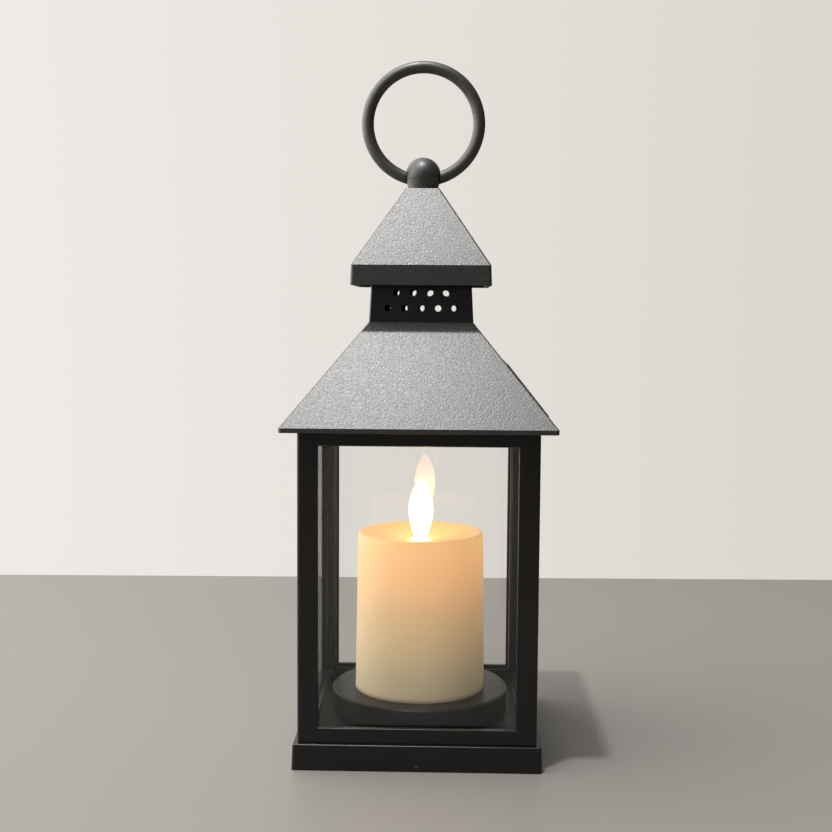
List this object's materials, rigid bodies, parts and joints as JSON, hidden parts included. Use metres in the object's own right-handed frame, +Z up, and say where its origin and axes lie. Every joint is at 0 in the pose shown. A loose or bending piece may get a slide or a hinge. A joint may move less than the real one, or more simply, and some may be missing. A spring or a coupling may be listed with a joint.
{
  "type": "solar lantern",
  "caption": "Square black plastic solar lantern with clear panes, a moving-flame candle on a round plate, a hip roof with a vented neck, a cap and a carrying ring.",
  "frame": {"origin": "centre of the underside of the plinth", "axes": "+Z up, front towards -Y, solar panel on the +X slope"},
  "size_m": [0.1142, 0.1142, 0.3013],
  "materials": {
    "black_plastic": "fine spark texture",
    "clear_pane": "clear and glossy",
    "candle_plastic": "wax-like satin",
    "flame_plastic": "translucent satin",
    "white_plastic": "satin",
    "solar_cell": "dark blue cell strips",
    "clear_resin": "clear and glossy",
    "circuit_board": "solder mask",
    "board_parts": "satin",
    "steel": "bright",
    "magnet": "nickel plated",
    "copper": "enamelled copper wire",
    "battery_wrap": "plain printed sleeve",
    "diode_lens": "tinted clear",
    "lead_red": "satin",
    "lead_black": "satin"
  },
  "bodies": {
    "lantern": {"base_plinth": "black_plastic", "bottom_cover": "black_plastic", "cover_screws": "steel", "battery_cell": "battery_wrap", "positive_contact": "steel", "contact_spring": "steel", "control_board": "circuit_board", "board_parts": "board_parts", "board_screws": "steel", "switch_body": "steel", "lantern_frame": "black_plastic", "front_pane": "clear_pane", "right_pane": "clear_pane", "back_pane": "clear_pane", "left_pane": "clear_pane", "roof": "black_plastic", "roof_ceiling": "black_plastic", "ceiling_screws": "steel", "solar_board": "circuit_board", "solar_cells": "solar_cell", "solar_resin": "clear_resin", "cap": "black_plastic", "cap_screws": "steel", "finial_ball": "black_plastic", "finial_screw": "steel", "candle_plate": "black_plastic", "plate_screws": "steel", "candle_shell": "candle_plastic", "candle_core": "white_plastic", "flame_wire": "steel", "coil_bobbin": "white_plastic", "drive_coil": "copper", "candle_led": "diode_lens", "led_board": "circuit_board", "panel_lead_red": "lead_red", "panel_lead_black": "lead_black", "led_leads": "lead_black", "battery_leads": "lead_red"},
    "ring": {"ring_handle": "black_plastic"},
    "flame": {"flame_leaf": "flame_plastic", "flame_magnet": "magnet"},
    "door": {"battery_door": "black_plastic"},
    "switch": {"switch_knob": "black_plastic"}
  },
  "joints": [
    {"name": "ring_swing", "type": "hinge", "parent": "lantern", "child": "ring", "pos_m": [0, 0, 0.25162], "axis": [1, 0, 0], "range_deg": [-137, 137]},
    {"name": "flame_swing", "type": "hinge", "parent": "lantern", "child": "flame", "pos_m": [0, 0, 0.0884], "axis": [0, 1, 0], "range_deg": [-12, 12]},
    {"name": "battery_door_hinge", "type": "hinge", "parent": "lantern", "child": "door", "pos_m": [0, -0.0073, 0.0021], "axis": [-1, 0, 0], "range_deg": [0, 95]},
    {"name": "switch_slide", "type": "slide", "parent": "lantern", "child": "switch", "axis": [-1, 0, 0], "range_m": [0, 0.0025]}
  ]
}
